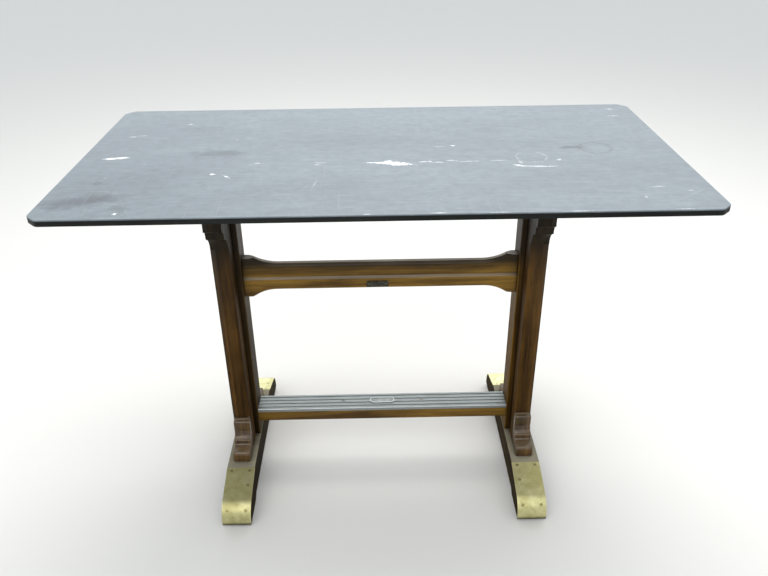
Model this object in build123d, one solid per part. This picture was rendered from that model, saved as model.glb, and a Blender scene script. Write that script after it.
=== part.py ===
from build123d import *
import os

# Trestle table: a thin top on two end supports, tied by a shaped rail and a foot rail.
# Millimetres. X runs along the table, Y from front (-) to back (+), Z up.
# The origin is on the floor under the middle of the top.

# Top
HEIGHT = 705.0
TOP_LENGTH = 1070.0
TOP_DEPTH = 564.0
TOP_CORNER_CUT = 18.0
TOP_CORNER_ROUND = 12.0
SMALLEST_CORNER_ROUND = 1.5
SURFACE_THICKNESS = 2.0
SURFACE_EDGE_ROUND = 1.2
PANEL_THICKNESS = 16.0
PANEL_EDGE_HEIGHT = 8.5
PANEL_BEVEL_WIDTH = 24.0

# End supports: an upright board with a pilaster strip on each face
SUPPORT_X = 297.4
BOARD_THICKNESS = 33.6
SHAFT_HALF_DEPTH = 64.5
PILASTER_THICKNESS = 10.6
PILASTER_HALF_DEPTH = 26.0
PILASTER_CHAMFER = 1.5
SUPPORT_WIDTH = BOARD_THICKNESS + 2 * PILASTER_THICKNESS
INNER_FACE_X = SUPPORT_X - SUPPORT_WIDTH / 2

# Chamfer on the front and back arrises: width across the front, depth down the side
ARRIS_WIDTH = 9.0
ARRIS_DEPTH = 5.0

# Sledge feet with brass toe plates
FOOT_WIDTH = 58.0
FOOT_TOP = 69.0
FOOT_SOLE = 6.0
FOOT_HOLLOW = 14.0
FOOT_HOLLOW_HALF_LENGTH = 150.0
FOOT_HOLLOW_RUN = 12.0
FOOT_FLAT_HALF_LENGTH = 133.0
FOOT_BEND = (202.0, 49.0)
FOOT_TOE = (230.0, FOOT_SOLE)
TOE_PLATE_THICKNESS = 2.0
TOE_PLATE_LIP = 9.0

# Floor pads under the ends of the feet
PAD_LENGTH = 36.0
PAD_WIDTH = 48.0
PAD_Y = 196.0
PAD_EDGE_ROUND = 3.0

# Plinth blocks: half depths from the table's middle line, heights from the floor
PLINTH_HALF_DEPTH = 114.5
PLINTH_FACE_TOP = 84.5
PLINTH_ROLL = 7.5
RIDGE_HALF_DEPTH = 87.0
LEDGE_COVE = 5.0
RIDGE_FACE_TOP = 100.0
RIDGE_ROLL = 4.0
COVE_RADIUS = 20.0
NECK_HALF_DEPTH = 75.0
NECK_FACE = (122.0, 137.5)
NECK_ROLL = 5.0
COLLAR_COVE = 3.5
PLINTH_LIP = 1.0

# Corbels: half depths and heights
CORBEL_LIP = 1.0
SWEEP_START_Z = 543.0
SWEEP_END = (80.0, 571.0)
STEP_UNDERSIDE = (88.5, 575.0)
STEP_TOP = (91.5, 590.0)
FASCIA_HALF_DEPTH = 107.0
FASCIA_BOTTOM = 597.5
FASCIA_ROUND = 2.0

# Bearers under the top
BEARER_HEIGHT = 34.0
BEARER_HALF_LENGTH = 205.0
BEARER_END_RUN = 30.0
BEARER_END_RISE = 19.0

# Upper rail: a thin upper part, a weathered ledge and a thicker lower part
RAIL_UPPER_THICKNESS = 19.0
RAIL_LOWER_THICKNESS = 28.0
RAIL_LEDGE_Z = (449.0, 453.5)
RAIL_BOTTOM = 429.0
RAIL_TOP = 481.5
RAIL_CHAMFER = 5.0
EAR_TOP = 494.5
EAR_START_X = 249.0
HOLLOW_END_X = 200.0
BRACKET_START_X = 205.0
BRACKET_BEND = (249.0, 415.0)
BRACKET_TOE = (258.0, 412.3)

# Foot rail and its ribbed tread
FOOT_RAIL_BOTTOM = 101.5
FOOT_RAIL_HALF_DEPTH = 22.5
FOOT_RAIL_ROUND = 2.5
TREAD_TOP = 134.5
TREAD_HALF_DEPTH = 24.8
TREAD_PLATE = 2.4
TREAD_RIB_HEIGHT = 1.8
TREAD_RIB_WIDTH = 7.6
TREAD_RIB_PITCH = 11.0
TREAD_NOSE_WIDTH = 6.4
TREAD_NOSE_DROP = 3.0
TREAD_NOSE_ROUND = 2.2

# Plates
BADGE_LENGTH = 54.0
BADGE_WIDTH = 19.0
BADGE_THICKNESS = 1.6
BADGE_RIM = 2.4
BADGE_RIM_HEIGHT = 0.8
PLAQUE_X = -6.0
PLAQUE_Z = 437.0
PLAQUE_LENGTH = 43.0
PLAQUE_HEIGHT = 13.0
PLAQUE_THICKNESS = 1.6
PLAQUE_CORNER = 2.0
PLAQUE_PIN_OFFSET = 17.5

# Tenons
TENON_THICKNESS = 12.0
END_TENON_HALF_WIDTH = 45.0
FOOT_TENON_DEPTH = 36.0
BEARER_TENON_DEPTH = 18.0
RAIL_TENON_LENGTH = 27.0
RAIL_TENON_Z = (424.0, 474.0)
FOOT_RAIL_TENON_HALF_DEPTH = 15.0
FOOT_RAIL_TENON_Z = (108.0, 124.0)

# Screws and pins: length, shank diameter, head diameter
TOP_SCREW = (36.0, 4.5, 9.0)
TOP_SCREW_SINK = 10.0
TOP_SCREW_Y = (-165.0, -130.0, 130.0, 165.0)
BEARER_SCREW = (65.0, 5.5, 11.0)
BEARER_SCREW_Y = (-54.0, 54.0)
FOOT_SCREW = (80.0, 6.5, 13.0)
FOOT_SCREW_SINK = 14.0
FOOT_SCREW_Y = (-56.0, 56.0)
TOE_SCREW = (16.0, 3.6, 7.2)
TOE_SCREW_SIDE = 18.5
TOE_TOP_SCREW_Y = 139.5
TOE_MIDDLE_SCREW_Y = 172.0
TOE_NOSE_SCREW_SHARE = 0.42
TREAD_SCREW = (20.0, 4.0, 7.6)
TREAD_SCREW_X = 86.0
PLAQUE_PIN = (8.0, 1.8, 3.4)
SLOT_WIDTH = 0.8
SLOT_DEPTH = 0.8

PANEL_TOP = HEIGHT - SURFACE_THICKNESS
PANEL_UNDERSIDE = PANEL_TOP - PANEL_THICKNESS
BEARER_UNDERSIDE = PANEL_UNDERSIDE - BEARER_HEIGHT
TREAD_SEAT = TREAD_TOP - TREAD_RIB_HEIGHT - TREAD_PLATE
SIDES = {"left": -1, "right": 1}
ENDS = {"front": -1, "rear": 1}


def block(x_range, y_range, z_range):
    """A box between three pairs of limits, given in either order."""
    limits = (x_range, y_range, z_range)
    size = [abs(high - low) for low, high in limits]
    centre = [(high + low) / 2 for low, high in limits]
    return Pos(*centre) * Box(*size)


def arc_radius(run, rise):
    """Radius of an arc that leaves along the run and drifts off it by the rise."""
    return (run**2 + rise**2) / (2 * rise)


def screw_blank(size):
    """A countersunk screw with its head at the origin, pointing down -Z."""
    length, shank, head = size
    cone_height = (head - shank) / 2
    with BuildPart() as blank:
        with BuildSketch(Plane.XZ):
            with BuildLine():
                Polyline(
                    (0, 0),
                    (head / 2, 0),
                    (shank / 2, -cone_height),
                    (shank / 2, shank - length),
                    (0, -length),
                    (0, 0),
                )
            make_face()
        revolve(axis=Axis.Z)
    return blank.part


def screws_at(size, places):
    """Finished screws, with driver slots, at a list of locations."""
    head = size[2]
    screw = screw_blank(size) - Box(head + 1, SLOT_WIDTH, 2 * SLOT_DEPTH)
    return [place * screw for place in places]


def pins_at(size, places):
    return [place * screw_blank(size) for place in places]


def cut_screws(shape, size, places):
    """Screw holes with the screw's own shape."""
    for hole in pins_at(size, places):
        shape = shape - hole
    return shape


# Where the fasteners go

def upward(places):
    return [place * Rot(180, 0, 0) for place in places]


def top_screw_places(side):
    z = BEARER_UNDERSIDE + TOP_SCREW_SINK
    return upward([Pos(side * SUPPORT_X, y, z) for y in TOP_SCREW_Y])


def bearer_screw_places(side):
    return [Pos(side * SUPPORT_X, y, PANEL_UNDERSIDE) for y in BEARER_SCREW_Y]


def foot_screw_places(side):
    z = FOOT_HOLLOW + FOOT_SCREW_SINK
    return upward([Pos(side * SUPPORT_X, y, z) for y in FOOT_SCREW_Y])


def toe_screw_places(side, end):
    """Two screws near the plate's upper edge, one on the slope, two on the nose."""
    slope = Vector(*FOOT_BEND) - Vector(FOOT_FLAT_HALF_LENGTH, FOOT_TOP)
    slope_angle = slope.get_angle(Vector(1, 0))
    spots = [
        (-TOE_SCREW_SIDE, TOE_TOP_SCREW_Y),
        (TOE_SCREW_SIDE, TOE_TOP_SCREW_Y),
        (-side * TOE_SCREW_SIDE, TOE_MIDDLE_SCREW_Y),
    ]
    places = []
    for across, along in spots:
        z = FOOT_TOP + slope.Y / slope.X * (along - FOOT_FLAT_HALF_LENGTH)
        place = Pos(side * SUPPORT_X + across, end * along, z)
        places.append(place * Rot(-end * slope_angle, 0, 0))
    nose = nose_arc()
    spot = nose @ TOE_NOSE_SCREW_SHARE
    nose_angle = (nose % TOE_NOSE_SCREW_SHARE).get_angle(Vector(1, 0))
    for across in (-TOE_SCREW_SIDE, TOE_SCREW_SIDE):
        place = Pos(side * SUPPORT_X + across, end * spot.X, spot.Y)
        places.append(place * Rot(-end * nose_angle, 0, 0))
    return places


def tread_screw_places():
    return [Pos(x, 0, TREAD_TOP) for x in (-TREAD_SCREW_X, TREAD_SCREW_X)]


def plaque_pin_places():
    face = -RAIL_LOWER_THICKNESS / 2 - PLAQUE_THICKNESS
    offsets = (-PLAQUE_PIN_OFFSET, PLAQUE_PIN_OFFSET)
    return [Pos(PLAQUE_X + x, face, PLAQUE_Z) * Rot(90, 0, 0) for x in offsets]


# Top

def top_outline(inset, z):
    """The outline of the top at height z, set in all round by an amount."""
    outline = Rectangle(TOP_LENGTH - 2 * inset, TOP_DEPTH - 2 * inset)
    cut = TOP_CORNER_CUT - inset * (2 - 2**0.5)
    outline = chamfer(outline.vertices(), cut)
    radius = max(TOP_CORNER_ROUND - inset, SMALLEST_CORNER_ROUND)
    outline = fillet(outline.vertices(), radius)
    return Pos(0, 0, z) * outline


def tabletop_surface():
    sheet = extrude(top_outline(0, PANEL_TOP), SURFACE_THICKNESS)
    rim = sheet.faces().sort_by(Axis.Z)[-1].edges()
    return fillet(rim, SURFACE_EDGE_ROUND)


def tabletop_panel():
    """A board with a square edge and a wide bevel underneath."""
    edge_bottom = PANEL_TOP - PANEL_EDGE_HEIGHT
    slab = extrude(top_outline(0, edge_bottom), PANEL_EDGE_HEIGHT)
    lower = top_outline(PANEL_BEVEL_WIDTH, PANEL_UNDERSIDE)
    panel = slab + loft([lower, top_outline(0, edge_bottom)], ruled=True)
    for side in SIDES.values():
        panel = cut_screws(panel, TOP_SCREW, top_screw_places(side))
    return panel


# End supports

def arris_cuts(half_depth, z_range):
    """Four wedges that chamfer the upright arrises of a board of this half depth."""
    low, high = z_range
    half = BOARD_THICKNESS / 2
    wedge = Polygon(
        (half, half_depth),
        (half - ARRIS_WIDTH, half_depth),
        (half, half_depth - ARRIS_DEPTH),
        align=None,
    )
    quarter = extrude(Pos(0, 0, low) * wedge, high - low)
    back = quarter + mirror(quarter, about=Plane.YZ)
    return back + mirror(back, about=Plane.XZ)


def tenon_range(side):
    """X limits of the tenons at the head and foot of an end board."""
    half = TENON_THICKNESS / 2
    return (side * SUPPORT_X - half, side * SUPPORT_X + half)


def end_tenon(side, z_range):
    return block(tenon_range(side), (-END_TENON_HALF_WIDTH, END_TENON_HALF_WIDTH), z_range)


def foot_tenon(side):
    return end_tenon(side, (FOOT_TOP - FOOT_TENON_DEPTH, FOOT_TOP))


def bearer_tenon(side):
    return end_tenon(side, (BEARER_UNDERSIDE, BEARER_UNDERSIDE + BEARER_TENON_DEPTH))


def plinth_top():
    return NECK_FACE[1] + NECK_ROLL + COLLAR_COVE


def end_board(side):
    """The plain upright board with its tenons, mortises and stopped chamfers."""
    half = BOARD_THICKNESS / 2
    depth = (-SHAFT_HALF_DEPTH, SHAFT_HALF_DEPTH)
    board = block((-half, half), depth, (FOOT_TOP, BEARER_UNDERSIDE))
    board -= arris_cuts(SHAFT_HALF_DEPTH, (plinth_top(), SWEEP_START_Z))
    board = Pos(side * SUPPORT_X, 0, 0) * board
    board += foot_tenon(side) + bearer_tenon(side)
    board -= rail_tenon(side) + foot_rail_tenon(side)
    board = cut_screws(board, FOOT_SCREW, foot_screw_places(side))
    return cut_screws(board, BEARER_SCREW, bearer_screw_places(side))


def edge_block(outline, side, end):
    """A moulded block on the front or rear edge of an end board."""
    shape = extrude(outline, BOARD_THICKNESS / 2, both=True)
    if end < 0:
        shape = mirror(shape, about=Plane.XZ)
    return Pos(side * SUPPORT_X, 0, 0) * shape


def plinth_outline():
    """Side view of a rear plinth block, drawn from the foot upwards."""
    ledge_z = PLINTH_FACE_TOP + PLINTH_ROLL
    ledge_end = PLINTH_HALF_DEPTH - PLINTH_ROLL
    cove_start = RIDGE_HALF_DEPTH + LEDGE_COVE
    ridge_top = RIDGE_FACE_TOP + RIDGE_ROLL
    ridge_end = RIDGE_HALF_DEPTH - RIDGE_ROLL
    collar_z = NECK_FACE[1] + NECK_ROLL
    lip = SHAFT_HALF_DEPTH + PLINTH_LIP
    with BuildSketch(Plane.YZ) as view:
        with BuildLine():
            Polyline(
                (SHAFT_HALF_DEPTH, FOOT_TOP),
                (PLINTH_HALF_DEPTH, FOOT_TOP),
                (PLINTH_HALF_DEPTH, PLINTH_FACE_TOP),
            )
            RadiusArc((PLINTH_HALF_DEPTH, PLINTH_FACE_TOP), (ledge_end, ledge_z), -PLINTH_ROLL)
            Line((ledge_end, ledge_z), (cove_start, ledge_z))
            RadiusArc((cove_start, ledge_z), (RIDGE_HALF_DEPTH, ledge_z + LEDGE_COVE), LEDGE_COVE)
            Line((RIDGE_HALF_DEPTH, ledge_z + LEDGE_COVE), (RIDGE_HALF_DEPTH, RIDGE_FACE_TOP))
            RadiusArc((RIDGE_HALF_DEPTH, RIDGE_FACE_TOP), (ridge_end, ridge_top), -RIDGE_ROLL)
            RadiusArc((ridge_end, ridge_top), (NECK_HALF_DEPTH, NECK_FACE[0]), COVE_RADIUS)
            Line((NECK_HALF_DEPTH, NECK_FACE[0]), (NECK_HALF_DEPTH, NECK_FACE[1]))
            neck_end = (NECK_HALF_DEPTH - NECK_ROLL, collar_z)
            RadiusArc((NECK_HALF_DEPTH, NECK_FACE[1]), neck_end, -NECK_ROLL)
            collar = (lip + COLLAR_COVE, collar_z)
            Line(neck_end, collar)
            RadiusArc(collar, (lip, plinth_top()), COLLAR_COVE)
            Polyline((lip, plinth_top()), (SHAFT_HALF_DEPTH, plinth_top()))
            Line((SHAFT_HALF_DEPTH, plinth_top()), (SHAFT_HALF_DEPTH, FOOT_TOP))
        make_face()
    return view.sketch


def corbel_outline():
    """Side view of a rear corbel, drawn from the shaft upwards."""
    lip = (SHAFT_HALF_DEPTH + CORBEL_LIP, SWEEP_START_Z)
    sweep_radius = arc_radius(SWEEP_END[1] - lip[1], SWEEP_END[0] - lip[0])
    fascia_corner = (FASCIA_HALF_DEPTH - FASCIA_ROUND, FASCIA_BOTTOM)
    fascia_start = (FASCIA_HALF_DEPTH, FASCIA_BOTTOM + FASCIA_ROUND)
    with BuildSketch(Plane.YZ) as view:
        with BuildLine():
            Line((SHAFT_HALF_DEPTH, SWEEP_START_Z), lip)
            RadiusArc(lip, SWEEP_END, sweep_radius)
            Polyline(SWEEP_END, STEP_UNDERSIDE, STEP_TOP, fascia_corner)
            RadiusArc(fascia_corner, fascia_start, -FASCIA_ROUND)
            Polyline(
                fascia_start,
                (FASCIA_HALF_DEPTH, BEARER_UNDERSIDE),
                (SHAFT_HALF_DEPTH, BEARER_UNDERSIDE),
                (SHAFT_HALF_DEPTH, SWEEP_START_Z),
            )
        make_face()
    return view.sketch


def plinth_block(side, end):
    return edge_block(plinth_outline(), side, end)


def corbel(side, end):
    cuts = arris_cuts(FASCIA_HALF_DEPTH, (FASCIA_BOTTOM, BEARER_UNDERSIDE))
    return edge_block(corbel_outline(), side, end) - Pos(side * SUPPORT_X, 0, 0) * cuts


def pilaster(side, inner):
    """A flat strip on one face of an end board, inner or outer."""
    toward = -side if inner else side
    near = side * SUPPORT_X + toward * BOARD_THICKNESS / 2
    far = near + toward * PILASTER_THICKNESS
    depth = (-PILASTER_HALF_DEPTH, PILASTER_HALF_DEPTH)
    strip = block((near, far), depth, (FOOT_TOP, BEARER_UNDERSIDE))
    arrises = [
        edge for edge in strip.edges().filter_by(Axis.Z) if abs(edge.center().X - far) < 1
    ]
    strip = chamfer(arrises, PILASTER_CHAMFER)
    if inner:
        strip -= rail_tenon(side) + foot_rail_tenon(side)
    return strip


def bearer(side):
    """The cross piece under the top, with rising ends."""
    with BuildPart() as bar:
        with BuildSketch(Plane.YZ):
            with BuildLine():
                Polyline(
                    (0, BEARER_UNDERSIDE),
                    (BEARER_HALF_LENGTH - BEARER_END_RUN, BEARER_UNDERSIDE),
                    (BEARER_HALF_LENGTH, BEARER_UNDERSIDE + BEARER_END_RISE),
                    (BEARER_HALF_LENGTH, PANEL_UNDERSIDE),
                    (0, PANEL_UNDERSIDE),
                )
                mirror(about=Plane.YZ)
            make_face()
        extrude(amount=SUPPORT_WIDTH / 2, both=True)
    shape = Pos(side * SUPPORT_X, 0, 0) * bar.part - bearer_tenon(side)
    for y in TOP_SCREW_Y:
        sink = Cylinder(TOP_SCREW[2] / 2, 2 * TOP_SCREW_SINK)
        shape -= Pos(side * SUPPORT_X, y, BEARER_UNDERSIDE) * sink
    shape = cut_screws(shape, TOP_SCREW, top_screw_places(side))
    return cut_screws(shape, BEARER_SCREW, bearer_screw_places(side))


# Feet

def nose_arc():
    """The rounded nose of a foot in side view, tangent to the slope above it."""
    slope = Vector(*FOOT_BEND) - Vector(FOOT_FLAT_HALF_LENGTH, FOOT_TOP)
    return TangentArc(FOOT_BEND, FOOT_TOE, tangent=slope)


def foot_side_view():
    """Side view of a foot with its toe plates on."""
    with BuildSketch(Plane.YZ) as view:
        with BuildLine():
            Polyline(
                (0, FOOT_HOLLOW),
                (FOOT_HOLLOW_HALF_LENGTH, FOOT_HOLLOW),
                (FOOT_HOLLOW_HALF_LENGTH + FOOT_HOLLOW_RUN, FOOT_SOLE),
                FOOT_TOE,
            )
            nose_arc()
            Polyline(FOOT_BEND, (FOOT_FLAT_HALF_LENGTH, FOOT_TOP), (0, FOOT_TOP))
            mirror(about=Plane.YZ)
        make_face()
    return view.sketch


def foot_solid(face):
    return extrude(face, FOOT_WIDTH / 2, both=True)


def toe_plates():
    """Both toe plates of one foot, centred on X = 0."""
    whole = foot_side_view()
    core = offset(whole, -TOE_PLATE_THICKNESS, kind=Kind.INTERSECTION)
    shell = foot_solid(whole) - foot_solid(core)
    width = (-FOOT_WIDTH, FOOT_WIDTH)
    middle = (-FOOT_FLAT_HALF_LENGTH, FOOT_FLAT_HALF_LENGTH)
    lip_start = FOOT_TOE[0] - TOE_PLATE_LIP
    shell -= block(width, middle, (0, HEIGHT))
    return shell - block(width, (-lip_start, lip_start), (0, 2 * FOOT_HOLLOW))


def toe_plate(side, end):
    half = block((-FOOT_WIDTH, FOOT_WIDTH), (0, end * TOP_DEPTH), (0, HEIGHT))
    plate = Pos(side * SUPPORT_X, 0, 0) * (toe_plates() & half)
    return cut_screws(plate, TOE_SCREW, toe_screw_places(side, end))


def foot(side):
    shape = foot_solid(foot_side_view()) - toe_plates()
    shape = Pos(side * SUPPORT_X, 0, 0) * shape - foot_tenon(side)
    for y in FOOT_SCREW_Y:
        sink = Cylinder(FOOT_SCREW[2] / 2, 2 * FOOT_SCREW_SINK)
        shape -= Pos(side * SUPPORT_X, y, FOOT_HOLLOW) * sink
    shape = cut_screws(shape, FOOT_SCREW, foot_screw_places(side))
    for end in ENDS.values():
        shape = cut_screws(shape, TOE_SCREW, toe_screw_places(side, end))
    return shape


def floor_pad(side, end):
    pad = Box(PAD_WIDTH, PAD_LENGTH, FOOT_SOLE)
    pad = fillet(pad.edges().filter_by(Axis.Z), PAD_EDGE_ROUND)
    return Pos(side * SUPPORT_X, end * PAD_Y, FOOT_SOLE / 2) * pad


# Rails

def rail_end_tenon(side, half_depth, z_range):
    """A tenon from a pilaster's inner face into the end board."""
    x_range = (side * INNER_FACE_X, side * (INNER_FACE_X + RAIL_TENON_LENGTH))
    return block(x_range, (-half_depth, half_depth), z_range)


def rail_tenon(side):
    return rail_end_tenon(side, TENON_THICKNESS / 2, RAIL_TENON_Z)


def foot_rail_tenon(side):
    return rail_end_tenon(side, FOOT_RAIL_TENON_HALF_DEPTH, FOOT_RAIL_TENON_Z)


def rail_front_view():
    """Front view of the rail: raised ears, hollow top and bracketed ends."""
    hollow_radius = arc_radius(EAR_START_X - HOLLOW_END_X, EAR_TOP - RAIL_TOP)
    bracket_run = BRACKET_BEND[0] - BRACKET_START_X
    bracket_radius = arc_radius(bracket_run, RAIL_BOTTOM - BRACKET_BEND[1])
    with BuildSketch(Plane.XZ) as view:
        with BuildLine():
            Line((0, RAIL_TOP), (HOLLOW_END_X, RAIL_TOP))
            RadiusArc((HOLLOW_END_X, RAIL_TOP), (EAR_START_X, EAR_TOP), -hollow_radius)
            Polyline(
                (EAR_START_X, EAR_TOP),
                (INNER_FACE_X, EAR_TOP),
                (INNER_FACE_X, BRACKET_TOE[1]),
                BRACKET_TOE,
            )
            TangentArc(BRACKET_TOE, BRACKET_BEND, tangent=(-1, 0))
            RadiusArc(BRACKET_BEND, (BRACKET_START_X, RAIL_BOTTOM), -bracket_radius)
            Line((BRACKET_START_X, RAIL_BOTTOM), (0, RAIL_BOTTOM))
            mirror(about=Plane.YZ)
        make_face()
    return view.sketch


def rail_section():
    """Cross section of the rail, thinner above its ledge than below."""
    upper = RAIL_UPPER_THICKNESS / 2
    lower = RAIL_LOWER_THICKNESS / 2
    with BuildSketch(Plane.YZ) as view:
        with BuildLine():
            Polyline(
                (0, 0),
                (lower, 0),
                (lower, RAIL_LEDGE_Z[0]),
                (upper, RAIL_LEDGE_Z[1]),
                (upper, HEIGHT),
                (0, HEIGHT),
            )
            mirror(about=Plane.YZ)
        make_face()
    return view.sketch


def upper_rail():
    rail = extrude(rail_front_view(), RAIL_LOWER_THICKNESS / 2, both=True)
    rail = rail & extrude(rail_section(), INNER_FACE_X, both=True)
    hollow_edges = [
        edge
        for edge in rail.edges().filter_by(Axis.X)
        if abs(edge.center().Z - RAIL_TOP) < 1 and abs(edge.center().Y) > 1
    ]
    rail = chamfer(hollow_edges, RAIL_CHAMFER)
    for side in SIDES.values():
        rail += rail_tenon(side)
    return cut_screws(rail, PLAQUE_PIN, plaque_pin_places())


def foot_rail():
    x_range = (-INNER_FACE_X, INNER_FACE_X)
    depth = (-FOOT_RAIL_HALF_DEPTH, FOOT_RAIL_HALF_DEPTH)
    bar = block(x_range, depth, (FOOT_RAIL_BOTTOM, TREAD_SEAT))
    lower = bar.edges().filter_by(Axis.X).group_by(Axis.Z)[0]
    bar = fillet(lower, FOOT_RAIL_ROUND)
    for side in SIDES.values():
        bar += foot_rail_tenon(side)
    return cut_screws(bar, TREAD_SCREW, tread_screw_places())


def tread():
    """Ribbed metal tread with a rounded nosing and a lip along both edges."""
    length = (-INNER_FACE_X, INNER_FACE_X)
    plate_z = (TREAD_SEAT, TREAD_SEAT + TREAD_PLATE)
    shape = block(length, (-TREAD_HALF_DEPTH, TREAD_HALF_DEPTH), plate_z)
    for end in ENDS.values():
        edge = end * TREAD_HALF_DEPTH
        nose = end * (TREAD_HALF_DEPTH - TREAD_NOSE_WIDTH)
        lip = end * FOOT_RAIL_HALF_DEPTH
        shape += block(length, (edge, nose), (TREAD_SEAT, TREAD_TOP))
        shape += block(length, (edge, lip), (TREAD_SEAT - TREAD_NOSE_DROP, TREAD_TOP))
    for centre in (-TREAD_RIB_PITCH, 0, TREAD_RIB_PITCH):
        rib = (centre - TREAD_RIB_WIDTH / 2, centre + TREAD_RIB_WIDTH / 2)
        shape += block(length, rib, (TREAD_SEAT, TREAD_TOP))
    top_edges = shape.edges().filter_by(Axis.X).group_by(Axis.Z)[-1]
    outer = [edge for edge in top_edges if abs(edge.center().Y) > TREAD_HALF_DEPTH - 1]
    shape = fillet(outer, TREAD_NOSE_ROUND)
    return cut_screws(shape, TREAD_SCREW, tread_screw_places())


def tread_badge():
    """An oblong plate with round ends and a raised rim, riding on the ribs."""
    outline = Pos(0, 0, TREAD_TOP) * SlotOverall(BADGE_LENGTH, BADGE_WIDTH)
    field = SlotOverall(BADGE_LENGTH - 2 * BADGE_RIM, BADGE_WIDTH - 2 * BADGE_RIM)
    field_z = TREAD_TOP + BADGE_THICKNESS - BADGE_RIM_HEIGHT
    plate = extrude(outline, BADGE_THICKNESS)
    return plate - extrude(Pos(0, 0, field_z) * field, BADGE_THICKNESS)


def rail_plaque():
    outline = RectangleRounded(PLAQUE_LENGTH, PLAQUE_HEIGHT, PLAQUE_CORNER)
    plate = extrude(outline, PLAQUE_THICKNESS / 2, both=True)
    face = -RAIL_LOWER_THICKNESS / 2 - PLAQUE_THICKNESS / 2
    plate = Pos(PLAQUE_X, face, PLAQUE_Z) * Rot(90, 0, 0) * plate
    return cut_screws(plate, PLAQUE_PIN, plaque_pin_places())


# Files

def save(name, shape):
    export_step(shape, f"parts/{name}.step")


def save_group(name, solids):
    save(name, Compound(children=solids))


def save_support(side_name, side):
    """The pieces of one end support, apart from its fasteners."""
    save(f"{side_name}_end_board", end_board(side))
    save(f"{side_name}_inner_pilaster", pilaster(side, inner=True))
    save(f"{side_name}_outer_pilaster", pilaster(side, inner=False))
    save(f"{side_name}_bearer", bearer(side))
    save(f"{side_name}_foot", foot(side))
    for end_name, end in ENDS.items():
        save(f"{side_name}_{end_name}_plinth_block", plinth_block(side, end))
        save(f"{side_name}_{end_name}_corbel", corbel(side, end))
        save(f"{side_name}_{end_name}_toe_plate", toe_plate(side, end))
        save(f"{side_name}_{end_name}_floor_pad", floor_pad(side, end))


def save_fasteners():
    top_screws = []
    bearer_screws = []
    foot_screws = []
    toe_screws = []
    for side in SIDES.values():
        top_screws += screws_at(TOP_SCREW, top_screw_places(side))
        bearer_screws += screws_at(BEARER_SCREW, bearer_screw_places(side))
        foot_screws += screws_at(FOOT_SCREW, foot_screw_places(side))
        for end in ENDS.values():
            toe_screws += screws_at(TOE_SCREW, toe_screw_places(side, end))
    save_group("top_fixing_screws", top_screws)
    save_group("bearer_screws", bearer_screws)
    save_group("foot_screws", foot_screws)
    save_group("toe_plate_screws", toe_screws)
    save_group("tread_screws", screws_at(TREAD_SCREW, tread_screw_places()))
    save_group("plaque_pins", pins_at(PLAQUE_PIN, plaque_pin_places()))


def main():
    os.makedirs("parts", exist_ok=True)
    save("tabletop_surface", tabletop_surface())
    save("tabletop_panel", tabletop_panel())
    save("upper_rail", upper_rail())
    save("rail_plaque", rail_plaque())
    save("foot_rail", foot_rail())
    save("foot_rail_tread", tread())
    save("tread_badge", tread_badge())
    for side_name, side in SIDES.items():
        save_support(side_name, side)
    save_fasteners()


main()
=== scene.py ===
import math

import bpy
from mathutils import Matrix, Vector


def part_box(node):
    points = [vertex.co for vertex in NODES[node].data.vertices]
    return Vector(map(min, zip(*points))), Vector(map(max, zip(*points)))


# Looks for a trestle table: dark scratched top, waxed oak supports and rails, sheet brass
# toe plates and a ribbed metal tread. Metres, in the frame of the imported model.

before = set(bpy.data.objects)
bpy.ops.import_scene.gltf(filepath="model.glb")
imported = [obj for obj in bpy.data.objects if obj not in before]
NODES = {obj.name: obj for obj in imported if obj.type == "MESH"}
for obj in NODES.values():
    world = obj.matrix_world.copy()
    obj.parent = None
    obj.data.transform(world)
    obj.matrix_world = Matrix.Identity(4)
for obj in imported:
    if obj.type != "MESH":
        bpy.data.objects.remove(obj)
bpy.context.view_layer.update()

MM = 0.001


# Node helpers

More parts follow.
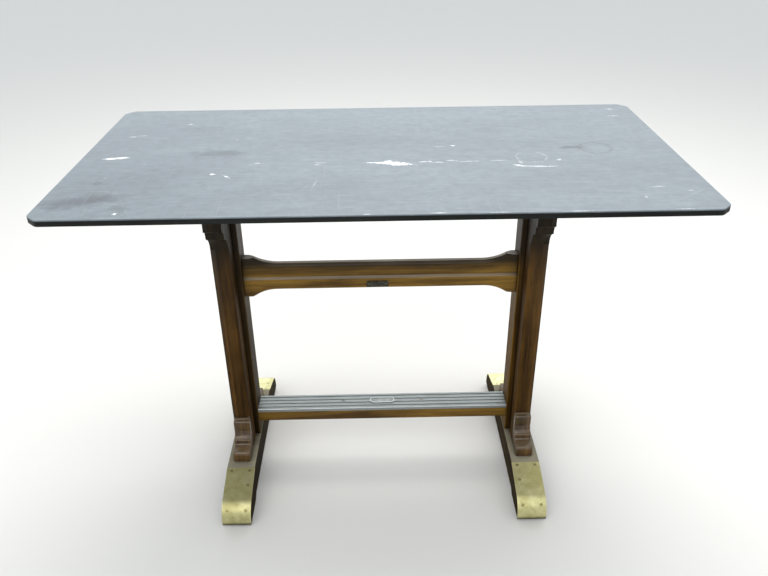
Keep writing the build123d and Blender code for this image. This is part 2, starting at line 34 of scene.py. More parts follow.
class Tree:
    """A node tree, built by short calls that return sockets."""

    def __init__(self, tree):
        self.tree = tree

    def put(self, value, socket):
        if isinstance(value, bpy.types.NodeSocket):
            self.tree.links.new(value, socket)
        else:
            socket.default_value = value

    def node(self, kind, inputs=(), **settings):
        made = self.tree.nodes.new("ShaderNode" + kind)
        for key, value in settings.items():
            setattr(made, key, value)
        for key, value in dict(inputs).items():
            self.put(value, made.inputs[key])
        return made

    def math(self, operation, a, b=0.0):
        return self.node("Math", {0: a, 1: b}, operation=operation).outputs[0]

    def add(self, a, b):
        return self.math("ADD", a, b)

    def times(self, a, b):
        return self.math("MULTIPLY", a, b)

    def absolute(self, value):
        return self.math("ABSOLUTE", value)

    def parts(self, vector):
        """The X, Y and Z parts of a vector."""
        return self.node("SeparateXYZ", {0: vector}).outputs

    def place(self):
        return self.node("TexCoord").outputs["Object"]

    def height(self):
        return self.parts(self.place())["Z"]

    def facing(self):
        """The X, Y and Z parts of the surface normal."""
        return self.parts(self.node("NewGeometry").outputs["Normal"])

    def mapped(self, vector, location=(0, 0, 0), rotation=(0, 0, 0), scale=(1, 1, 1)):
        made = self.node(
            "Mapping",
            {"Vector": vector, "Location": location, "Rotation": rotation, "Scale": scale},
        )
        return made.outputs[0]

    def noise(self, vector, scale, detail=4.0, rough=0.5, distortion=0.0):
        made = self.node(
            "TexNoise",
            {
                "Vector": vector,
                "Scale": scale,
                "Detail": detail,
                "Roughness": rough,
                "Distortion": distortion,
            },
        )
        return made.outputs["Fac"]

    def drawn_noise(self, vector, squeeze, scale, detail, rough, distortion=0.0):
        """Noise drawn out along X into streaks."""
        drawn = self.mapped(vector, scale=(squeeze, 1.0, 1.0))
        return self.noise(drawn, scale, detail, rough, distortion)

    def ramp(self, value, low, high, to_low=0.0, to_high=1.0):
        made = self.node(
            "MapRange",
            {0: value, 1: low, 2: high, 3: to_low, 4: to_high},
            interpolation_type="SMOOTHSTEP",
            clamp=True,
        )
        return made.outputs[0]

    def mix(self, factor, a, b, blend="MIX"):
        made = self.node("Mix", data_type="RGBA", blend_type=blend, clamp_factor=True)
        for key, value in ((0, factor), (6, a), (7, b)):
            if key and not isinstance(value, bpy.types.NodeSocket):
                value = (*value, 1.0)
            self.put(value, made.inputs[key])
        return made.outputs[2]

    def bump(self, height, distance, strength=1.0):
        inputs = {"Height": height, "Distance": distance, "Strength": strength}
        return self.node("Bump", inputs).outputs[0]

    def edges(self, radius, low=0.02, high=0.3):
        """A mask that is 1 on outside and inside edges, from the bevelled normal."""
        soft = self.node("Bevel", {"Radius": radius}, samples=6).outputs[0]
        flat = self.node("NewGeometry").outputs["Normal"]
        dot = self.node("VectorMath", {0: soft, 1: flat}, operation="DOT_PRODUCT")
        away = self.math("SUBTRACT", 1.0, dot.outputs["Value"])
        return self.ramp(away, low, high)

    def crevice(self, distance, low=0.35, high=0.85):
        """A mask that is 1 in corners and quirks, from ambient occlusion: it places painted shade."""
        made = self.node("AmbientOcclusion", {"Distance": distance}, samples=6)
        return self.ramp(made.outputs["AO"], low, high, 1.0, 0.0)


class Surface(Tree):
    """A new material with one principled shader."""

    def __init__(self, name):
        self.material = bpy.data.materials.new(name)
        self.material.use_nodes = True
        super().__init__(self.material.node_tree)
        self.tree.nodes.clear()
        self.bsdf = self.tree.nodes.new("ShaderNodeBsdfPrincipled")
        output = self.tree.nodes.new("ShaderNodeOutputMaterial")
        self.tree.links.new(self.bsdf.outputs[0], output.inputs[0])

    def shader(self, **values):
        for key, value in values.items():
            self.put(value, self.bsdf.inputs[key.replace("_", " ")])
        return self.material


def scaled(colour, factor):
    return tuple(part * factor for part in colour)


# Wood

GRAIN_AXES = ("X", "Y", "Z")
GRAIN_RELIEF = 0.3 * MM
# Dark colour for dirt and painted shade in corners, and for painted shade towards the heads of pieces
SHADE_AND_GRIME = (0.010, 0.008, 0.005)
# Strength and reach of the darkening in corners: painted shade, with some dirt
CORNER_SHADE_AND_DIRT_STRENGTH = 0.65
CORNER_SHADE_REACH = 14.0 * MM
RAIL_CORNER_SHADE_REACH = 30.0 * MM
ARRIS_REACH = 2.2 * MM

# Each wooden piece has its own seed, which shifts its grain
FIRST_SEED = 1.0
SEED_STEP = 1.7
SEED_SHIFT = (0.37, 0.53, 0.71)

# Roughness range, specular level near the floor and at the head, coat weight and coat roughness
DULL = ((0.55, 0.7), (0.015, 0.05), 0.0, 0.3)
WAXED = ((0.46, 0.62), (0.035, 0.13), 0.02, 0.3)
VARNISHED = ((0.34, 0.46), (0.2, 0.2), 0.75, 0.15)
RAIL_WAX = ((0.4, 0.54), (0.16, 0.16), 0.04, 0.25)
EDGE_WAX = ((0.46, 0.62), (0.16, 0.16), 0.02, 0.3)

# Heights between which the specular level changes from its lower value to its upper one
POLISH_LOW = 0.25
POLISH_HIGH = 0.6

# Dark grain, light grain, worn arris that also stands for painted light on chamfers, and dusty upward
# face that is partly painted light from above
SUPPORT_OAK = ((0.023, 0.0112, 0.0034), (0.100, 0.050, 0.0125), (0.15, 0.070, 0.012), (0.20, 0.18, 0.14))
# Corbels: the support oak darkened, as painted shade under the top
CORBEL_OAK_SHADED = ((0.008, 0.0052, 0.0020), (0.028, 0.0180, 0.006), (0.05, 0.030, 0.009), (0.06, 0.05, 0.035))
PLINTH_OAK = ((0.034, 0.0160, 0.0050), (0.142, 0.074, 0.0225), (0.20, 0.11, 0.035), (0.20, 0.15, 0.09))
PILASTER_OAK = ((0.014, 0.0080, 0.0026), (0.052, 0.030, 0.0085), (0.15, 0.085, 0.02), (0.24, 0.21, 0.16))
GOLDEN_OAK = ((0.040, 0.0190, 0.0032), (0.165, 0.085, 0.0125), (0.34, 0.17, 0.022), (0.24, 0.21, 0.16))
# Feet: darker oak, partly painted shade under the table
FOOT_OAK_SHADED = ((0.012, 0.0076, 0.0030), (0.040, 0.026, 0.009), (0.12, 0.085, 0.035), (0.40, 0.37, 0.27))
# Rails: oak made golden as painted warm light bounced up from the floor, with a bright upward tone that
# is partly painted highlight
RAIL_OAK_WARM_LIT = ((0.070, 0.0340, 0.0050), (0.27, 0.150, 0.0230), (0.30, 0.18, 0.05), (0.72, 0.65, 0.55))
EDGE_BOARD = ((0.0045, 0.0055, 0.005), (0.013, 0.016, 0.0145), (0.045, 0.045, 0.034), (0.02, 0.02, 0.018))


def grain_space(tree, axis, seed, along):
    """Object space squeezed along the grain, moved so that pieces differ."""
    scale = tuple(along if name == axis else 1.0 for name in GRAIN_AXES)
    return tree.mapped(tree.place(), location=scaled(SEED_SHIFT, seed), scale=scale)


def oak_figure(tree, axis, seed, dark, light):
    """Grain colour, then the streaks, open pores and soft clouds that made it."""
    streaks = tree.noise(grain_space(tree, axis, seed, 0.07), 42.0, 7.0, 0.62, 0.8)
    bands = tree.noise(grain_space(tree, axis, seed + 3, 0.03), 120.0, 3.0, 0.5, 0.3)
    fibres = tree.noise(grain_space(tree, axis, seed + 7, 0.035), 900.0, 3.0, 0.6)
    clouds = tree.noise(grain_space(tree, axis, seed + 11, 0.5), 16.0, 3.0, 0.5)
    tone = tree.times(tree.ramp(streaks, 0.34, 0.66), 0.6)
    tone = tree.add(tone, tree.times(tree.ramp(bands, 0.36, 0.64), 0.4))
    colour = tree.mix(tone, dark, light)
    shade = tree.ramp(clouds, 0.3, 0.7, 0.72, 1.18)
    grey = tree.node("CombineColor", {0: shade, 1: shade, 2: shade}).outputs[0]
    colour = tree.mix(1.0, colour, grey, "MULTIPLY")
    pores = tree.ramp(fibres, 0.56, 0.68)
    colour = tree.mix(tree.times(pores, 0.5), colour, scaled(dark, 0.3))
    return colour, streaks, pores, clouds


def rub_and_light_arrises(tree, colour, streaks, worn_and_lit, wear_and_light):
    """Wears the sharp edges, and gives the stopped chamfers wear and painted light."""
    facing = tree.facing()
    # Chamfers lighter and warmer: wear, and painted light as from a side window
    chamfer = tree.absolute(tree.times(facing["X"], facing["Y"]))
    patchy = tree.ramp(tree.noise(tree.place(), 9.0, 2.0), 0.4, 0.6, 0.25, 1.0)
    chamfer = tree.times(tree.ramp(chamfer, 0.2, 0.38), patchy)
    arris = tree.math("MAXIMUM", tree.edges(ARRIS_REACH), chamfer)
    broken = tree.ramp(streaks, 0.3, 0.62, 0.35, 1.0)
    return tree.mix(tree.times(tree.times(arris, broken), wear_and_light), colour, worn_and_lit)


# Upward faces lighter: dust, and painted light falling from above
def settle_dust_and_light(tree, colour, clouds, dusty_lit, dust):
    upward = tree.times(tree.ramp(tree.facing()["Z"], 0.35, 0.9), dust)
    uneven = tree.ramp(clouds, 0.3, 0.6, 0.7, 1.0)
    return tree.mix(tree.times(upward, uneven), colour, dusty_lit)


def paint_head_shade(tree, colour, node, start, full, strength):
    """Painted shade: darkens a piece towards its head, where the top or a nosing above shades it, but not
    its upward faces.
    """
    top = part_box(node)[1][2]
    near = tree.ramp(tree.height(), top - start * MM, top - full * MM, 0.0, strength)
    sloping = tree.ramp(tree.facing()["Z"], 0.8, 0.95, 1.0, 0.0)
    return tree.mix(tree.times(near, sloping), colour, SHADE_AND_GRIME)


def oak(node, seed, axis, tones, finish, wear_and_light, dust, head_shade):
    """Oak for one node, with its grain along an axis, and dirt and painted shade in its corners."""
    dark, light, worn_and_lit, dusty_lit = tones
    (smooth, rough), (level_low, level_high), coat, coat_rough = finish
    reach = RAIL_CORNER_SHADE_REACH if tones is RAIL_OAK_WARM_LIT else CORNER_SHADE_REACH
    tree = Surface("oak_" + node)
    colour, streaks, pores, clouds = oak_figure(tree, axis, seed, dark, light)
    colour = rub_and_light_arrises(tree, colour, streaks, worn_and_lit, wear_and_light)
    colour = settle_dust_and_light(tree, colour, clouds, dusty_lit, dust)
    # Painted shade towards the head of the piece, under the top or a nosing
    if head_shade:
        colour = paint_head_shade(tree, colour, node, *head_shade)
    # Darker in corners by ambient occlusion: painted shade, with some dirt
    colour = tree.mix(tree.times(tree.crevice(reach), CORNER_SHADE_AND_DIRT_STRENGTH), colour, SHADE_AND_GRIME)
    relief = tree.add(tree.times(streaks, 0.5), tree.times(pores, -0.8))
    return tree.shader(
        Base_Color=colour,
        Roughness=tree.ramp(streaks, 0.3, 0.7, smooth, rough),
        Specular_IOR_Level=tree.ramp(tree.height(), POLISH_LOW, POLISH_HIGH, level_low, level_high),
        Coat_Weight=coat,
        Coat_Roughness=coat_rough,
        Normal=tree.bump(relief, GRAIN_RELIEF, 0.5),
    )


# Metals and rubber

BRASS_DULL = (0.50, 0.46, 0.21)
BRASS_CLEAN = (0.72, 0.68, 0.37)
BRASS_SPOT = (0.24, 0.20, 0.08)
# Dirt and painted shade in the brass corners
BRASS_SHADE_AND_DIRT = (0.08, 0.065, 0.025)
BRASS_RUBBED = (0.86, 0.80, 0.50)
# Painted shade along the bottom of the toe plates, and the heights where it is full and where it ends
BRASS_LOW_SHADE = (0.03, 0.026, 0.016)
BRASS_TONE = {"left": 0.86, "right": 1.0}
LOW_SHADE_BOTTOM = 6.0 * MM
LOW_SHADE_TOP = 15.0 * MM

TREAD_DARK = (0.33, 0.36, 0.35)
TREAD_LIGHT = (0.41, 0.44, 0.43)
TREAD_SCUFFED = (0.3, 0.3, 0.28)
TREAD_LAND = (0.15, 0.165, 0.16)
TREAD_GROOVE = (0.30, 0.32, 0.31)
TREAD_POLISHED = (0.78, 0.80, 0.82)

BADGE_DARK = (0.22, 0.235, 0.23)
BADGE_LIGHT = (0.31, 0.33, 0.32)
BADGE_RIM = (0.46, 0.495, 0.485)
# Dirt and painted shade in the badge's recesses
BADGE_SHADE_AND_DIRT = (0.05, 0.05, 0.05)

RUBBER_BLACK = (0.012, 0.012, 0.012)
RUBBER_DUSTY = (0.05, 0.047, 0.042)

STEEL = ((0.4, 0.4, 0.39), (0.15, 0.14, 0.13), 0.35)

# Small metal pieces: node, material name, and the clean colour, dark colour and roughness
SMALL_METALS = [
    ("rail_plaque", "plaque_bronze", ((0.085, 0.08, 0.06), (0.03, 0.032, 0.025), 0.4)),
    ("plaque_pins", "pin_bronze", ((0.16, 0.13, 0.08), (0.05, 0.04, 0.02), 0.35)),
    ("toe_plate_screws", "screw_brass", ((0.50, 0.45, 0.21), (0.26, 0.22, 0.09), 0.4)),
    ("tread_screws", "screw_bright", ((0.30, 0.30, 0.29), (0.12, 0.12, 0.11), 0.35)),
    ("top_fixing_screws", "steel_top_fixing_screws", STEEL),
    ("bearer_screws", "steel_bearer_screws", STEEL),
    ("foot_screws", "steel_foot_screws", STEEL),
]


def brass(name, seed, tone):
    """Satin sheet brass with cloudy tarnish, rubbing marks, brighter edges, dirt and painted shade in its
    corners, and painted shade along its bottom.
    """
    tree = Surface(name)
    place = tree.mapped(tree.place(), location=(seed * 0.3, seed * 0.2, 0.0))
    clouds = tree.noise(place, 26.0, 5.0, 0.6, 0.5)
    spots = tree.noise(place, 150.0, 4.0, 0.6)
    brushed = tree.drawn_noise(place, 0.06, 900.0, 3.0, 0.6)
    clean = tree.ramp(clouds, 0.32, 0.7)
    colour = tree.mix(clean, scaled(BRASS_DULL, tone), scaled(BRASS_CLEAN, tone))
    colour = tree.mix(tree.ramp(spots, 0.56, 0.75, 0.0, 0.3), colour, BRASS_SPOT)
    # Darker in corners by ambient occlusion: dirt and painted shade
    colour = tree.mix(tree.times(tree.crevice(3.0 * MM), 0.5), colour, BRASS_SHADE_AND_DIRT)
    colour = tree.mix(tree.times(tree.edges(1.0 * MM), 0.5), colour, BRASS_RUBBED)
    # Painted shade along the bottom of the plate, where it meets the floor
    low_shade = tree.ramp(tree.height(), LOW_SHADE_BOTTOM, LOW_SHADE_TOP, 0.9, 0.0)
    colour = tree.mix(low_shade, colour, BRASS_LOW_SHADE)
    rough = tree.ramp(clouds, 0.3, 0.75, 0.5, 0.42)
    relief = tree.add(clouds, tree.times(brushed, 0.15))
    return tree.shader(
        Base_Color=colour,
        Metallic=1.0,
        Roughness=tree.add(rough, tree.ramp(spots, 0.5, 0.75, 0.0, 0.1)),
        Normal=tree.bump(relief, 0.4 * MM, 0.6),
    )


def ribbed_metal(name):
    """Drawn aluminium: dull lands, grey grooves and a polished front nosing."""
    tree = Surface(name)
    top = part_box("foot_rail_tread")[1][2]
    lines = tree.drawn_noise(tree.place(), 0.015, 1400.0, 3.0, 0.6)
    scuffs = tree.drawn_noise(tree.place(), 0.35, 60.0, 5.0, 0.65)
    facing = tree.facing()
    colour = tree.mix(tree.ramp(lines, 0.35, 0.65), TREAD_DARK, TREAD_LIGHT)
    colour = tree.mix(tree.ramp(scuffs, 0.5, 0.72, 0.0, 0.5), colour, TREAD_SCUFFED)
    land = tree.ramp(facing["Z"], 0.9, 0.99, 0.0, 0.5)
    colour = tree.mix(land, colour, TREAD_LAND)
    above = tree.ramp(tree.height(), top - 1.6 * MM, top - 0.2 * MM)
    colour = tree.mix(above, TREAD_GROOVE, colour)
    polished = tree.times(above, tree.ramp(facing["Y"], -0.3, -0.15, 0.85, 0.0))
    colour = tree.mix(polished, colour, TREAD_POLISHED)
    return tree.shader(
        Base_Color=colour,
        Metallic=0.8,
        Roughness=tree.ramp(scuffs, 0.3, 0.7, 0.4, 0.56),
        Normal=tree.bump(lines, 0.05 * MM, 0.3),
    )


def badge_metal(name):
    """Cast aluminium with a paler raised rim round a dull field."""
    tree = Surface(name)
    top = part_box("tread_badge")[1][2]
    grain = tree.noise(tree.place(), 1100.0, 3.0, 0.6)
    tarnish = tree.noise(tree.place(), 60.0, 3.0, 0.5)
    field = tree.mix(tree.ramp(tarnish, 0.35, 0.65), BADGE_DARK, BADGE_LIGHT)
    rim = tree.ramp(tree.height(), top - 0.5 * MM, top - 0.1 * MM)
    colour = tree.mix(rim, field, BADGE_RIM)
    # Darker in recesses by ambient occlusion: dirt and painted shade
    colour = tree.mix(tree.times(tree.crevice(1.2 * MM), 0.7), colour, BADGE_SHADE_AND_DIRT)
    return tree.shader(
        Base_Color=colour,
        Metallic=0.9,
        Roughness=tree.ramp(grain, 0.3, 0.7, 0.42, 0.52),
        Normal=tree.bump(grain, 0.03 * MM, 0.4),
    )


def small_metal(name, clean, dark, rough):
    """Turned or stamped small pieces, with tarnish, and dirt and painted shade in their recesses."""
    tree = Surface(name)
    blotches = tree.noise(tree.place(), 240.0, 4.0, 0.6)
    grit = tree.noise(tree.place(), 1500.0, 2.0, 0.6)
    colour = tree.mix(tree.ramp(blotches, 0.35, 0.7), dark, clean)
    # Darker in recesses by ambient occlusion: dirt and painted shade
    colour = tree.mix(tree.times(tree.crevice(1.6 * MM), 0.85), colour, scaled(dark, 0.15))
    return tree.shader(
        Base_Color=colour,
        Metallic=0.9,
        Roughness=tree.ramp(blotches, 0.3, 0.7, rough + 0.14, rough),
        Normal=tree.bump(grit, 0.05 * MM, 0.4),
    )


def rubber(name):
    """Black rubber, dusty where it has picked up the floor."""
    tree = Surface(name)
    grain = tree.noise(tree.place(), 900.0, 3.0)
    dust = tree.noise(tree.place(), 90.0, 4.0)
    return tree.shader(
        Base_Color=tree.mix(tree.ramp(dust, 0.45, 0.7, 0.0, 0.6), RUBBER_BLACK, RUBBER_DUSTY),
        Roughness=tree.ramp(dust, 0.3, 0.7, 0.6, 0.85),
        Normal=tree.bump(grain, 0.15 * MM, 0.5),
    )


# Table top

SHEET = (0.100, 0.124, 0.146)
SHEET_FADED = (0.165, 0.198, 0.220)
SHEET_GREY = (0.27, 0.30, 0.32)
SHEET_EDGE = (0.022, 0.028, 0.028)
RING_DARK = (0.045, 0.055, 0.063)
STAIN_SHADE = (0.40, 0.42, 0.45)
CHALK = (0.86, 0.88, 0.9)
SHEET_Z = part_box("tabletop_surface")[1][2]
SHEET_RELIEF = 0.12 * MM
LENS_POWER = 1.3

# White scuffs, in millimetres: x, y, half length, half width, turn in degrees, strength
SCUFFS = [
    (14, -59, 44, 6, -4, 1.0),
    (30, -64, 34, 11, -9, 1.0),
    (16, -54, 12, 9, 20, 0.9),
    (82, -56, 20, 4, 10, 0.45),
    (104, -60, 22, 3, -6, 0.4),
    (128, -52, 14, 4, 0, 0.35),
    (160, -58, 30, 2.4, 2, 0.3),
    (212, -56, 22, 2.4, 0, 0.28),
    (138, 27, 7, 4, 0, 0.55),
    (112, 22, 16, 3, 8, 0.25),
    (-102, -53, 22, 2.2, -1, 0.26),
    (-108, -62, 9, 3.0, 10, 0.26),
    (-214, -51, 9, 3, 0, 0.34),
    (-214, -54, 20, 2.0, 6, 0.2),
    (276, -88, 50, 3.4, -3, 0.5),
    (243, -82, 15, 5, -24, 0.6),
    (248, -66, 4, 10, 20, 0.3),
    (318, -56, 9, 4, 30, 0.4),
    (-480, -16, 17, 6.4, 7, 1.0),
    (-463, -13, 17, 6.4, 7, 1.0),
    (-379, 183, 9, 5, -8, 0.36),
    (-476, 107, 12, 5, 12, 0.28),
    (-457, 113, 13, 4, 6, 0.2),
    (-284, -102, 8, 4.6, 0, 0.85),
    (-258, -114, 11, 3.2, -42, 0.6),
    (491, 246, 9, 4, -16, 0.42),
    (485, 197, 17, 2.2, 0, 0.42),
    (-402, -262, 6, 4.4, 40, 0.75),
    (-107, -155, 34, 1.8, 82, 0.14),
    (-122, -168, 24, 1.5, 70, 0.08),
    (-330, 40, 14, 2.4, 4, 0.14),
    (-250, 92, 10, 2.4, -6, 0.12),
    (40, 96, 12, 2.2, 4, 0.14),
    (232, 60, 14, 2.2, 2, 0.14),
    (415, -230, 4, 4, 0, 0.4),
    (449, -188, 16, 3.0, 8, 0.24),
    (495, -206, 9, 3.0, 0, 0.26),
    (300, -280, 34, 1.5, 0, 0.55),
    (88, -278, 16, 2.2, 0, 0.55),
    (-20, -279, 9, 2.0, 0, 0.4),
    (180, -279, 24, 1.4, 0, 0.4),
    (462, -278, 20, 1.6, 0, 0.35),
]

# Cup rings: x, y, radius, share of the radius that the line takes, strength, colour
RINGS = [
    (272, -40, 27, 0.09, 0.24, CHALK),
    (397, 3, 29, 0.17, 0.95, RING_DARK),
]

# Soft dark stains: x, y, half length, half width, turn in degrees, strength
STAINS = [
    (-478, -214, 56, 24, 16, 0.85),
    (-430, -203, 34, 14, -4, 0.5),
    (-404, -240, 12, 16, 40, 0.5),
    (-468, -137, 9, 9, 0, 0.5),
    (-300, 3, 38, 22, 0, 0.55),
    (-262, 4, 22, 14, 0, 0.5),
    (348, 8, 28, 6, 12, 0.8),
    (370, 5, 12, 8, 0, 0.6),
    (-420, -150, 150, 90, 12, 0.16),
    (-340, 150, 60, 18, 0, 0.2),
    (-180, 200, 40, 14, 0, 0.16),
    (-90, 60, 170, 40, 4, 0.12),
    (200, 130, 150, 50, -6, 0.12),
    (460, -110, 50, 16, -8, 0.14),
]

# Hairline scratches: turn in degrees, squeeze along them, scale, threshold, strength
HAIRLINES = [
    (8, 0.012, 330.0, 0.69, 0.3),
    (-37, 0.014, 260.0, 0.7, 0.28),
    (64, 0.013, 300.0, 0.70, 0.25),
    (28, 0.011, 380.0, 0.7, 0.28),
    (88, 0.012, 420.0, 0.67, 0.28),
]


def mark_space(tree, x, y, half_x, half_y, turn):
    """Object space measured from a mark, in units of its half length and half width."""
    made = tree.node(
        "Mapping",
        {
            "Vector": tree.place(),
            "Location": (x * MM, y * MM, SHEET_Z),
            "Rotation": (0, 0, math.radians(turn)),
            "Scale": (half_x * MM, half_y * MM, 1.0),
        },
        vector_type="TEXTURE",
    )
    return made.outputs[0]


def round_away(tree, space):
    """Distance that reaches 1 on the outline of an ellipse."""
    return tree.node("VectorMath", {0: space}, operation="LENGTH").outputs["Value"]


def lens_away(tree, space):
    """Distance that reaches 1 on the outline of a lens with pointed ends."""
    parts = tree.parts(space)
    along = tree.math("POWER", tree.absolute(parts["X"]), LENS_POWER)
    return tree.add(along, tree.absolute(parts["Y"]))


def add_stains(tree, colour, wander):
    for x, y, half_x, half_y, turn, strength in STAINS:
        away = round_away(tree, mark_space(tree, x, y, half_x, half_y, turn))
        mask = tree.ramp(tree.add(away, tree.times(wander, 1.4)), 0.9, 2.1, strength, 0.0)
        colour = tree.mix(mask, colour, STAIN_SHADE, "MULTIPLY")
    return colour


def add_rings(tree, colour, wander, pitted):
    for x, y, radius, width, strength, tint in RINGS:
        away = round_away(tree, mark_space(tree, x, y, radius, radius, 0))
        wobble = tree.add(away, tree.ramp(wander, 0.3, 0.7, -0.06, 0.06))
        off = tree.absolute(tree.math("SUBTRACT", wobble, 1.0))
        line = tree.ramp(off, 0.0, width, strength, 0.0)
        gaps = tree.ramp(wander, 0.36, 0.56, 0.15, 1.0)
        broken = tree.times(tree.ramp(pitted, 0.35, 0.6), gaps)
        colour = tree.mix(tree.times(line, broken), colour, tint)
    return colour


def add_hairlines(tree, colour):
    for number, (turn, squeeze, scale, low, strength) in enumerate(HAIRLINES):
        angle = (0, 0, math.radians(turn))
        turned = tree.mapped(tree.place(), location=(number, number * 2.0, 0), rotation=angle)
        thin = tree.drawn_noise(turned, squeeze, scale, 2.0, 0.5, 0.1)
        colour = tree.mix(tree.ramp(thin, low, low + 0.06, 0.0, strength), colour, SHEET_GREY)
    return colour


def add_scuffs(tree, colour):
    torn = tree.drawn_noise(tree.place(), 0.45, 380.0, 4.0, 0.7)
    tears = tree.ramp(torn, 0.32, 0.68, -0.3, 0.55)
    for x, y, half_x, half_y, turn, strength in SCUFFS:
        away = lens_away(tree, mark_space(tree, x, y, half_x, half_y, turn))
        mask = tree.ramp(tree.add(away, tears), 0.55, 1.0, strength, 0.0)
        colour = tree.mix(mask, colour, CHALK)
    return colour


def faded_sheet(tree, clouds, wander, streaks):
    """The sheet's colour before its marks, with darker and paler streaks along its length."""
    dark = scaled(SHEET, 0.6)
    fine = tree.drawn_noise(tree.place(), 0.1, 480.0, 4.0, 0.7)
    colour = tree.mix(tree.ramp(clouds, 0.3, 0.72), SHEET, SHEET_FADED)
    colour = tree.mix(tree.ramp(wander, 0.35, 0.6, 0.22, 0.0), colour, dark)
    colour = tree.mix(tree.ramp(streaks, 0.3, 0.48, 0.26, 0.0), colour, dark)
    colour = tree.mix(tree.ramp(streaks, 0.52, 0.7, 0.0, 0.4), colour, SHEET_GREY)
    return tree.mix(tree.ramp(fine, 0.55, 0.75, 0.0, 0.34), colour, SHEET_GREY)


def add_flecks(tree, colour):
    flecks = tree.noise(tree.place(), 260.0, 3.0, 0.6)
    return tree.mix(tree.ramp(flecks, 0.72, 0.765, 0.0, 0.6), colour, CHALK)


def darken_edge(tree, colour, wander):
    uneven = tree.ramp(wander, 0.35, 0.6, 0.3, 0.9)
    edge = tree.times(tree.edges(1.6 * MM, 0.03, 0.25), uneven)
    return tree.mix(edge, colour, SHEET_EDGE)


def sheet_top(name):
    """Matt blue-black sheet, faded and streaked, with every kind of mark."""
    tree = Surface(name)
    wander = tree.noise(tree.place(), 60.0, 5.0, 0.65)
    pitted = tree.noise(tree.place(), 420.0, 4.0, 0.7)
    clouds = tree.drawn_noise(tree.place(), 0.45, 7.0, 5.0, 0.6)
    streaks = tree.drawn_noise(tree.place(), 0.13, 150.0, 6.0, 0.72)

    colour = faded_sheet(tree, clouds, wander, streaks)
    colour = add_stains(tree, colour, wander)
    colour = add_rings(tree, colour, wander, pitted)
    colour = add_hairlines(tree, colour)
    colour = add_flecks(tree, colour)
    colour = add_scuffs(tree, colour)
    colour = darken_edge(tree, colour, wander)

    rough = tree.ramp(clouds, 0.3, 0.7, 0.44, 0.56)
    relief = tree.add(tree.times(streaks, 0.6), tree.times(pitted, 0.25))
    return tree.shader(
        Base_Color=colour,
        Roughness=tree.add(rough, tree.ramp(streaks, 0.5, 0.7, 0.0, 0.08)),
        Normal=tree.bump(relief, SHEET_RELIEF, 0.5),
    )


# Pieces and their materials

# How each kind of wooden piece is finished: name ending, grain axis, tones, finish, wear and
# painted light on the arrises, dust and painted light on upward faces, and painted shade towards
# the head: where it starts and where it is full, in millimetres below the top of the piece, and
# its strength
WOODEN = [
    ("end_board", "Z", SUPPORT_OAK, WAXED, 0.5, 0.4, (190, 120, 0.75)),
    ("left_inner_pilaster", "Z", PILASTER_OAK, WAXED, 0.5, 0.4, (190, 120, 0.4)),
    ("right_inner_pilaster", "Z", GOLDEN_OAK, WAXED, 0.5, 0.4, (190, 140, 0.78)),
    ("outer_pilaster", "Z", PILASTER_OAK, WAXED, 0.5, 0.4, (190, 120, 0.4)),
    ("bearer", "Y", PILASTER_OAK, WAXED, 0.3, 0.4, ()),
    ("foot", "Y", FOOT_OAK_SHADED, DULL, 0.5, 0.75, ()),
    ("plinth_block", "Z", PLINTH_OAK, VARNISHED, 0.4, 0.4, ()),
    ("corbel", "Z", CORBEL_OAK_SHADED, WAXED, 0.15, 0.3, ()),
    ("upper_rail", "X", RAIL_OAK_WARM_LIT, RAIL_WAX, 0.2, 0.52, (30, 10, 0.84)),
    ("foot_rail", "X", RAIL_OAK_WARM_LIT, RAIL_WAX, 0.3, 0.4, (8, 1, 0.6)),
    ("tabletop_panel", "X", EDGE_BOARD, EDGE_WAX, 0.6, 0.5, ()),
]


def dress(node, material):
    mesh = NODES[node].data
    if not mesh.materials:
        mesh.materials.append(material)
    for index in range(len(mesh.materials)):
        mesh.materials[index] = material


def dress_wood():
    seed = FIRST_SEED
    for node in sorted(NODES):
        for ending, *look in WOODEN:
            if node.endswith(ending):
                dress(node, oak(node, seed, *look))
                seed += SEED_STEP


def dress_feet():
    toes = [(side, end) for side in ("left", "right") for end in ("front", "rear")]
    for seed, (side, end) in enumerate(toes, start=1):
        metal = brass(f"brass_{side}_{end}", seed, BRASS_TONE[side])
        dress(f"{side}_{end}_toe_plate", metal)
        dress(f"{side}_{end}_floor_pad", rubber(f"rubber_{side}_{end}"))


def dress_the_rest():
    dress("tabletop_surface", sheet_top("blue_black_sheet"))
    dress("foot_rail_tread", ribbed_metal("tread_aluminium"))
    dress("tread_badge", badge_metal("badge_aluminium"))
    for node, name, look in SMALL_METALS:
        dress(node, small_metal(name, *look))


# Softened arrises: node name ending, width in millimetres
SOFTENED = {
    "end_board": 0.8,
    "pilaster": 0.8,
    "bearer": 1.5,
    "foot": 1.2,
    "plinth_block": 0.8,
    "corbel": 0.8,
    "upper_rail": 0.7,
    "foot_rail": 0.8,
    "tabletop_panel": 0.8,
}
WELD_DISTANCE = 0.02 * MM
SHARP_ANGLE = 32


def soften(obj, width):
    """Rounds the sharp edges of a carried-over node with modifiers only."""
    weld = obj.modifiers.new("weld", "WELD")
    weld.merge_threshold = WELD_DISTANCE
    bevel = obj.modifiers.new("arrises", "BEVEL")
    bevel.width = width * MM
    bevel.segments = 2
    bevel.limit_method = "ANGLE"
    bevel.angle_limit = math.radians(SHARP_ANGLE)
    bevel.use_clamp_overlap = True
    bevel.harden_normals = True


def soften_all():
    for node, obj in NODES.items():
        for ending, width in SOFTENED.items():
            if node.endswith(ending):
                soften(obj, width)
                break


# Stage

CAMERA_PLACE = (-0.00816, -1.29978, 1.15916)
CAMERA_YAW = 0.0117
CAMERA_PITCH = 0.5178
CAMERA_ROLL = -0.0119
CAMERA_LENS = 34.82
SENSOR = 36.0

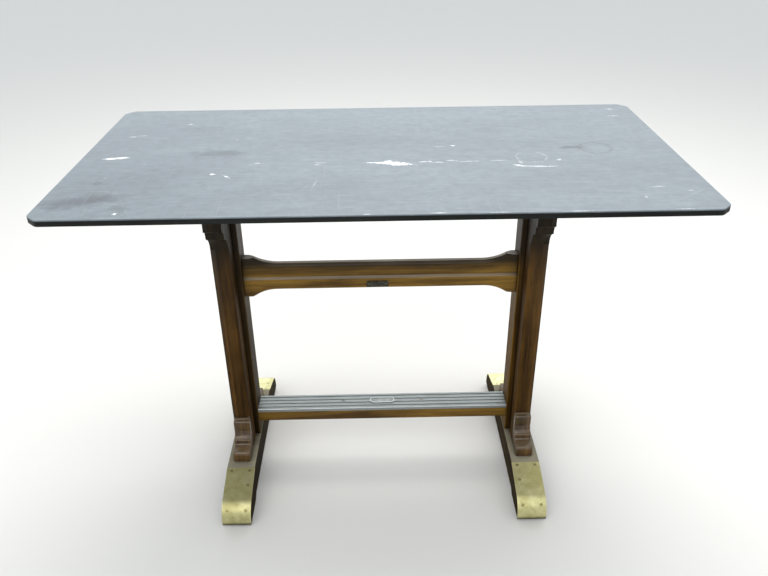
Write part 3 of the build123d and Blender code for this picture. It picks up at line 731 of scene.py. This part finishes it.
FLOOR_REACH = 12.0
FLOOR_COLOUR = (0.74, 0.73, 0.70, 1.0)
FLOOR_ROUGHNESS = 0.75

SKY_COLOUR = (0.92, 0.96, 1.0, 1.0)
WALL_LEVEL = 2.2
WINDOW_LEVEL = 1.0
ROOM_LEVEL = 0.45

# Area lights: name, place, target, length and width, power in watts, colour
LIGHTS = [
    ("ceiling", (0.3, 0.9, 2.6), (0, 0, 0.3), (2.2, 1.8), 58.0, (1.0, 0.98, 0.95)),
    ("window", (-1.2, -2.4, 2.4), (0, 0, 0.3), (2.6, 2.0), 22.0, (1.0, 0.98, 0.94)),
    ("strip", (0, -0.95, 2.3), (0, -0.1, 0.1), (2.4, 0.3), 7.0, (1.0, 1.0, 1.0)),
]


def link(name, data):
    """A new object in the scene that holds the data."""
    obj = bpy.data.objects.new(name, data)
    bpy.context.scene.collection.objects.link(obj)
    return obj


def camera_axes():
    """The camera's own axes, from its yaw, its pitch below the horizon and its roll."""
    level = math.cos(CAMERA_PITCH)
    along_x = math.sin(CAMERA_YAW) * level
    along_y = math.cos(CAMERA_YAW) * level
    ahead = Vector((along_x, along_y, -math.sin(CAMERA_PITCH)))
    right = Vector((math.cos(CAMERA_YAW), -math.sin(CAMERA_YAW), 0.0))
    up = right.cross(ahead)
    turned = right * math.cos(CAMERA_ROLL) + up * math.sin(CAMERA_ROLL)
    raised = up * math.cos(CAMERA_ROLL) - right * math.sin(CAMERA_ROLL)
    return Matrix((turned, raised, -ahead)).transposed()


def add_camera():
    data = bpy.data.cameras.new("camera")
    data.sensor_width = SENSOR
    data.lens = CAMERA_LENS
    camera = link("camera", data)
    matrix = camera_axes().to_4x4()
    matrix.translation = Vector(CAMERA_PLACE)
    camera.matrix_world = matrix
    bpy.context.scene.camera = camera


def add_floor():
    reach = FLOOR_REACH
    corners = [(-reach, -reach, 0), (reach, -reach, 0), (reach, reach, 0), (-reach, reach, 0)]
    mesh = bpy.data.meshes.new("floor")
    mesh.from_pydata(corners, [], [(0, 1, 2, 3)])
    look = Surface("pale_floor").shader(Base_Color=FLOOR_COLOUR, Roughness=FLOOR_ROUGHNESS)
    mesh.materials.append(look)
    floor = link("floor", mesh)


def add_area(name, place, target, size, power, colour):
    data = bpy.data.lights.new(name, "AREA")
    data.shape = "RECTANGLE"
    data.size, data.size_y = size
    data.energy = power
    data.color = colour
    light = link(name, data)
    light.location = place
    away = Vector(place) - Vector(target)
    light.rotation_euler = away.to_track_quat("Z", "Y").to_euler()


def add_world():
    """A bright wall behind the table, a bright patch high in front and a dimmer room round them."""
    world = bpy.data.worlds.new("studio")
    bpy.context.scene.world = world
    world.use_nodes = True
    tree = Tree(world.node_tree)
    direction = tree.parts(tree.node("TexCoord").outputs["Generated"])
    ahead = direction["Y"]
    height = direction["Z"]
    wall = tree.times(tree.ramp(ahead, 0.2, 0.6), tree.ramp(height, 0.3, 0.75, 1.0, 0.0))
    window = tree.times(tree.ramp(ahead, -0.7, -0.2, 1.0, 0.0), tree.ramp(height, 0.1, 0.5))
    level = tree.add(tree.times(wall, WALL_LEVEL), tree.times(window, WINDOW_LEVEL))
    background = world.node_tree.nodes["Background"]
    background.inputs["Color"].default_value = SKY_COLOUR
    tree.put(tree.add(level, ROOM_LEVEL), background.inputs["Strength"])


def add_light():
    add_world()
    for light in LIGHTS:
        add_area(*light)


def set_view():
    scene = bpy.context.scene
    scene.view_settings.view_transform = "Standard"
    scene.view_settings.look = "None"


dress_wood()
dress_feet()
dress_the_rest()
soften_all()
add_camera()
add_floor()
add_light()
set_view()
